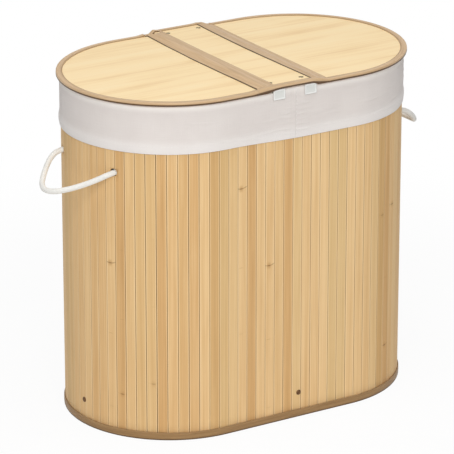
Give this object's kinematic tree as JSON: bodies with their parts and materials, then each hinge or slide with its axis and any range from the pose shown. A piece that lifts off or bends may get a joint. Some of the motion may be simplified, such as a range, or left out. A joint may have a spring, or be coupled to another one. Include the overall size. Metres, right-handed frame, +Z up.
{
  "type": "laundry hamper",
  "caption": "Oval two-compartment laundry hamper of upright bamboo slats with a cloth liner, rope handles and two flap lids hinged to a middle bridge.",
  "frame": {"origin": "middle of the oval footprint, on the floor", "axes": "+Z up; X along the oval, towards the two round ends; the front is at -Y"},
  "size_m": [0.702, 0.356, 0.5604],
  "materials": {
    "bamboo_slats": "satin",
    "backing_cloth": "matt",
    "brown_edging": "satin",
    "plywood": "matt",
    "dark_screws": "satin",
    "liner_cloth": "matt",
    "tab_fastener": "matt",
    "rope": "matt",
    "lid_panel": "satin",
    "hinge_tape": "satin"
  },
  "bodies": {
    "basket": {"front_slats": "bamboo_slats", "back_slats": "bamboo_slats", "left_end_slats": "bamboo_slats", "right_end_slats": "bamboo_slats", "slat_backing": "backing_cloth", "foot_band": "brown_edging", "base_hoop": "plywood", "base_board": "plywood", "base_screws": "dark_screws", "top_hoop": "plywood", "left_crossbar": "plywood", "right_crossbar": "plywood", "crossbar_screws": "dark_screws", "left_bag_side": "liner_cloth", "left_bag_floor": "liner_cloth", "left_bag_divider": "liner_cloth", "right_bag_side": "liner_cloth", "right_bag_floor": "liner_cloth", "right_bag_divider": "liner_cloth", "liner_cuff": "liner_cloth", "front_tabs": "liner_cloth", "back_tabs": "liner_cloth", "tab_fasteners": "tab_fastener", "left_handle_rope": "rope", "right_handle_rope": "rope", "left_handle_knots": "rope", "right_handle_knots": "rope", "bridge_board": "lid_panel", "bridge_front_binding": "brown_edging", "bridge_back_binding": "brown_edging", "bridge_screws": "dark_screws", "left_hinge_tape": "hinge_tape", "right_hinge_tape": "hinge_tape"},
    "left_lid": {"left_lid_board": "lid_panel", "left_lid_binding": "brown_edging"},
    "right_lid": {"right_lid_board": "lid_panel", "right_lid_binding": "brown_edging"}
  },
  "joints": [
    {"name": "left_lid_hinge", "type": "hinge", "parent": "basket", "child": "left_lid", "pos_m": [-0.04725, 0, 0.5562], "axis": [0, 1, 0], "range_deg": [0, 100], "deforming": ["left_hinge_tape"]},
    {"name": "right_lid_hinge", "type": "hinge", "parent": "basket", "child": "right_lid", "pos_m": [0.04725, 0, 0.5562], "axis": [0, -1, 0], "range_deg": [0, 100], "deforming": ["right_hinge_tape"]}
  ]
}
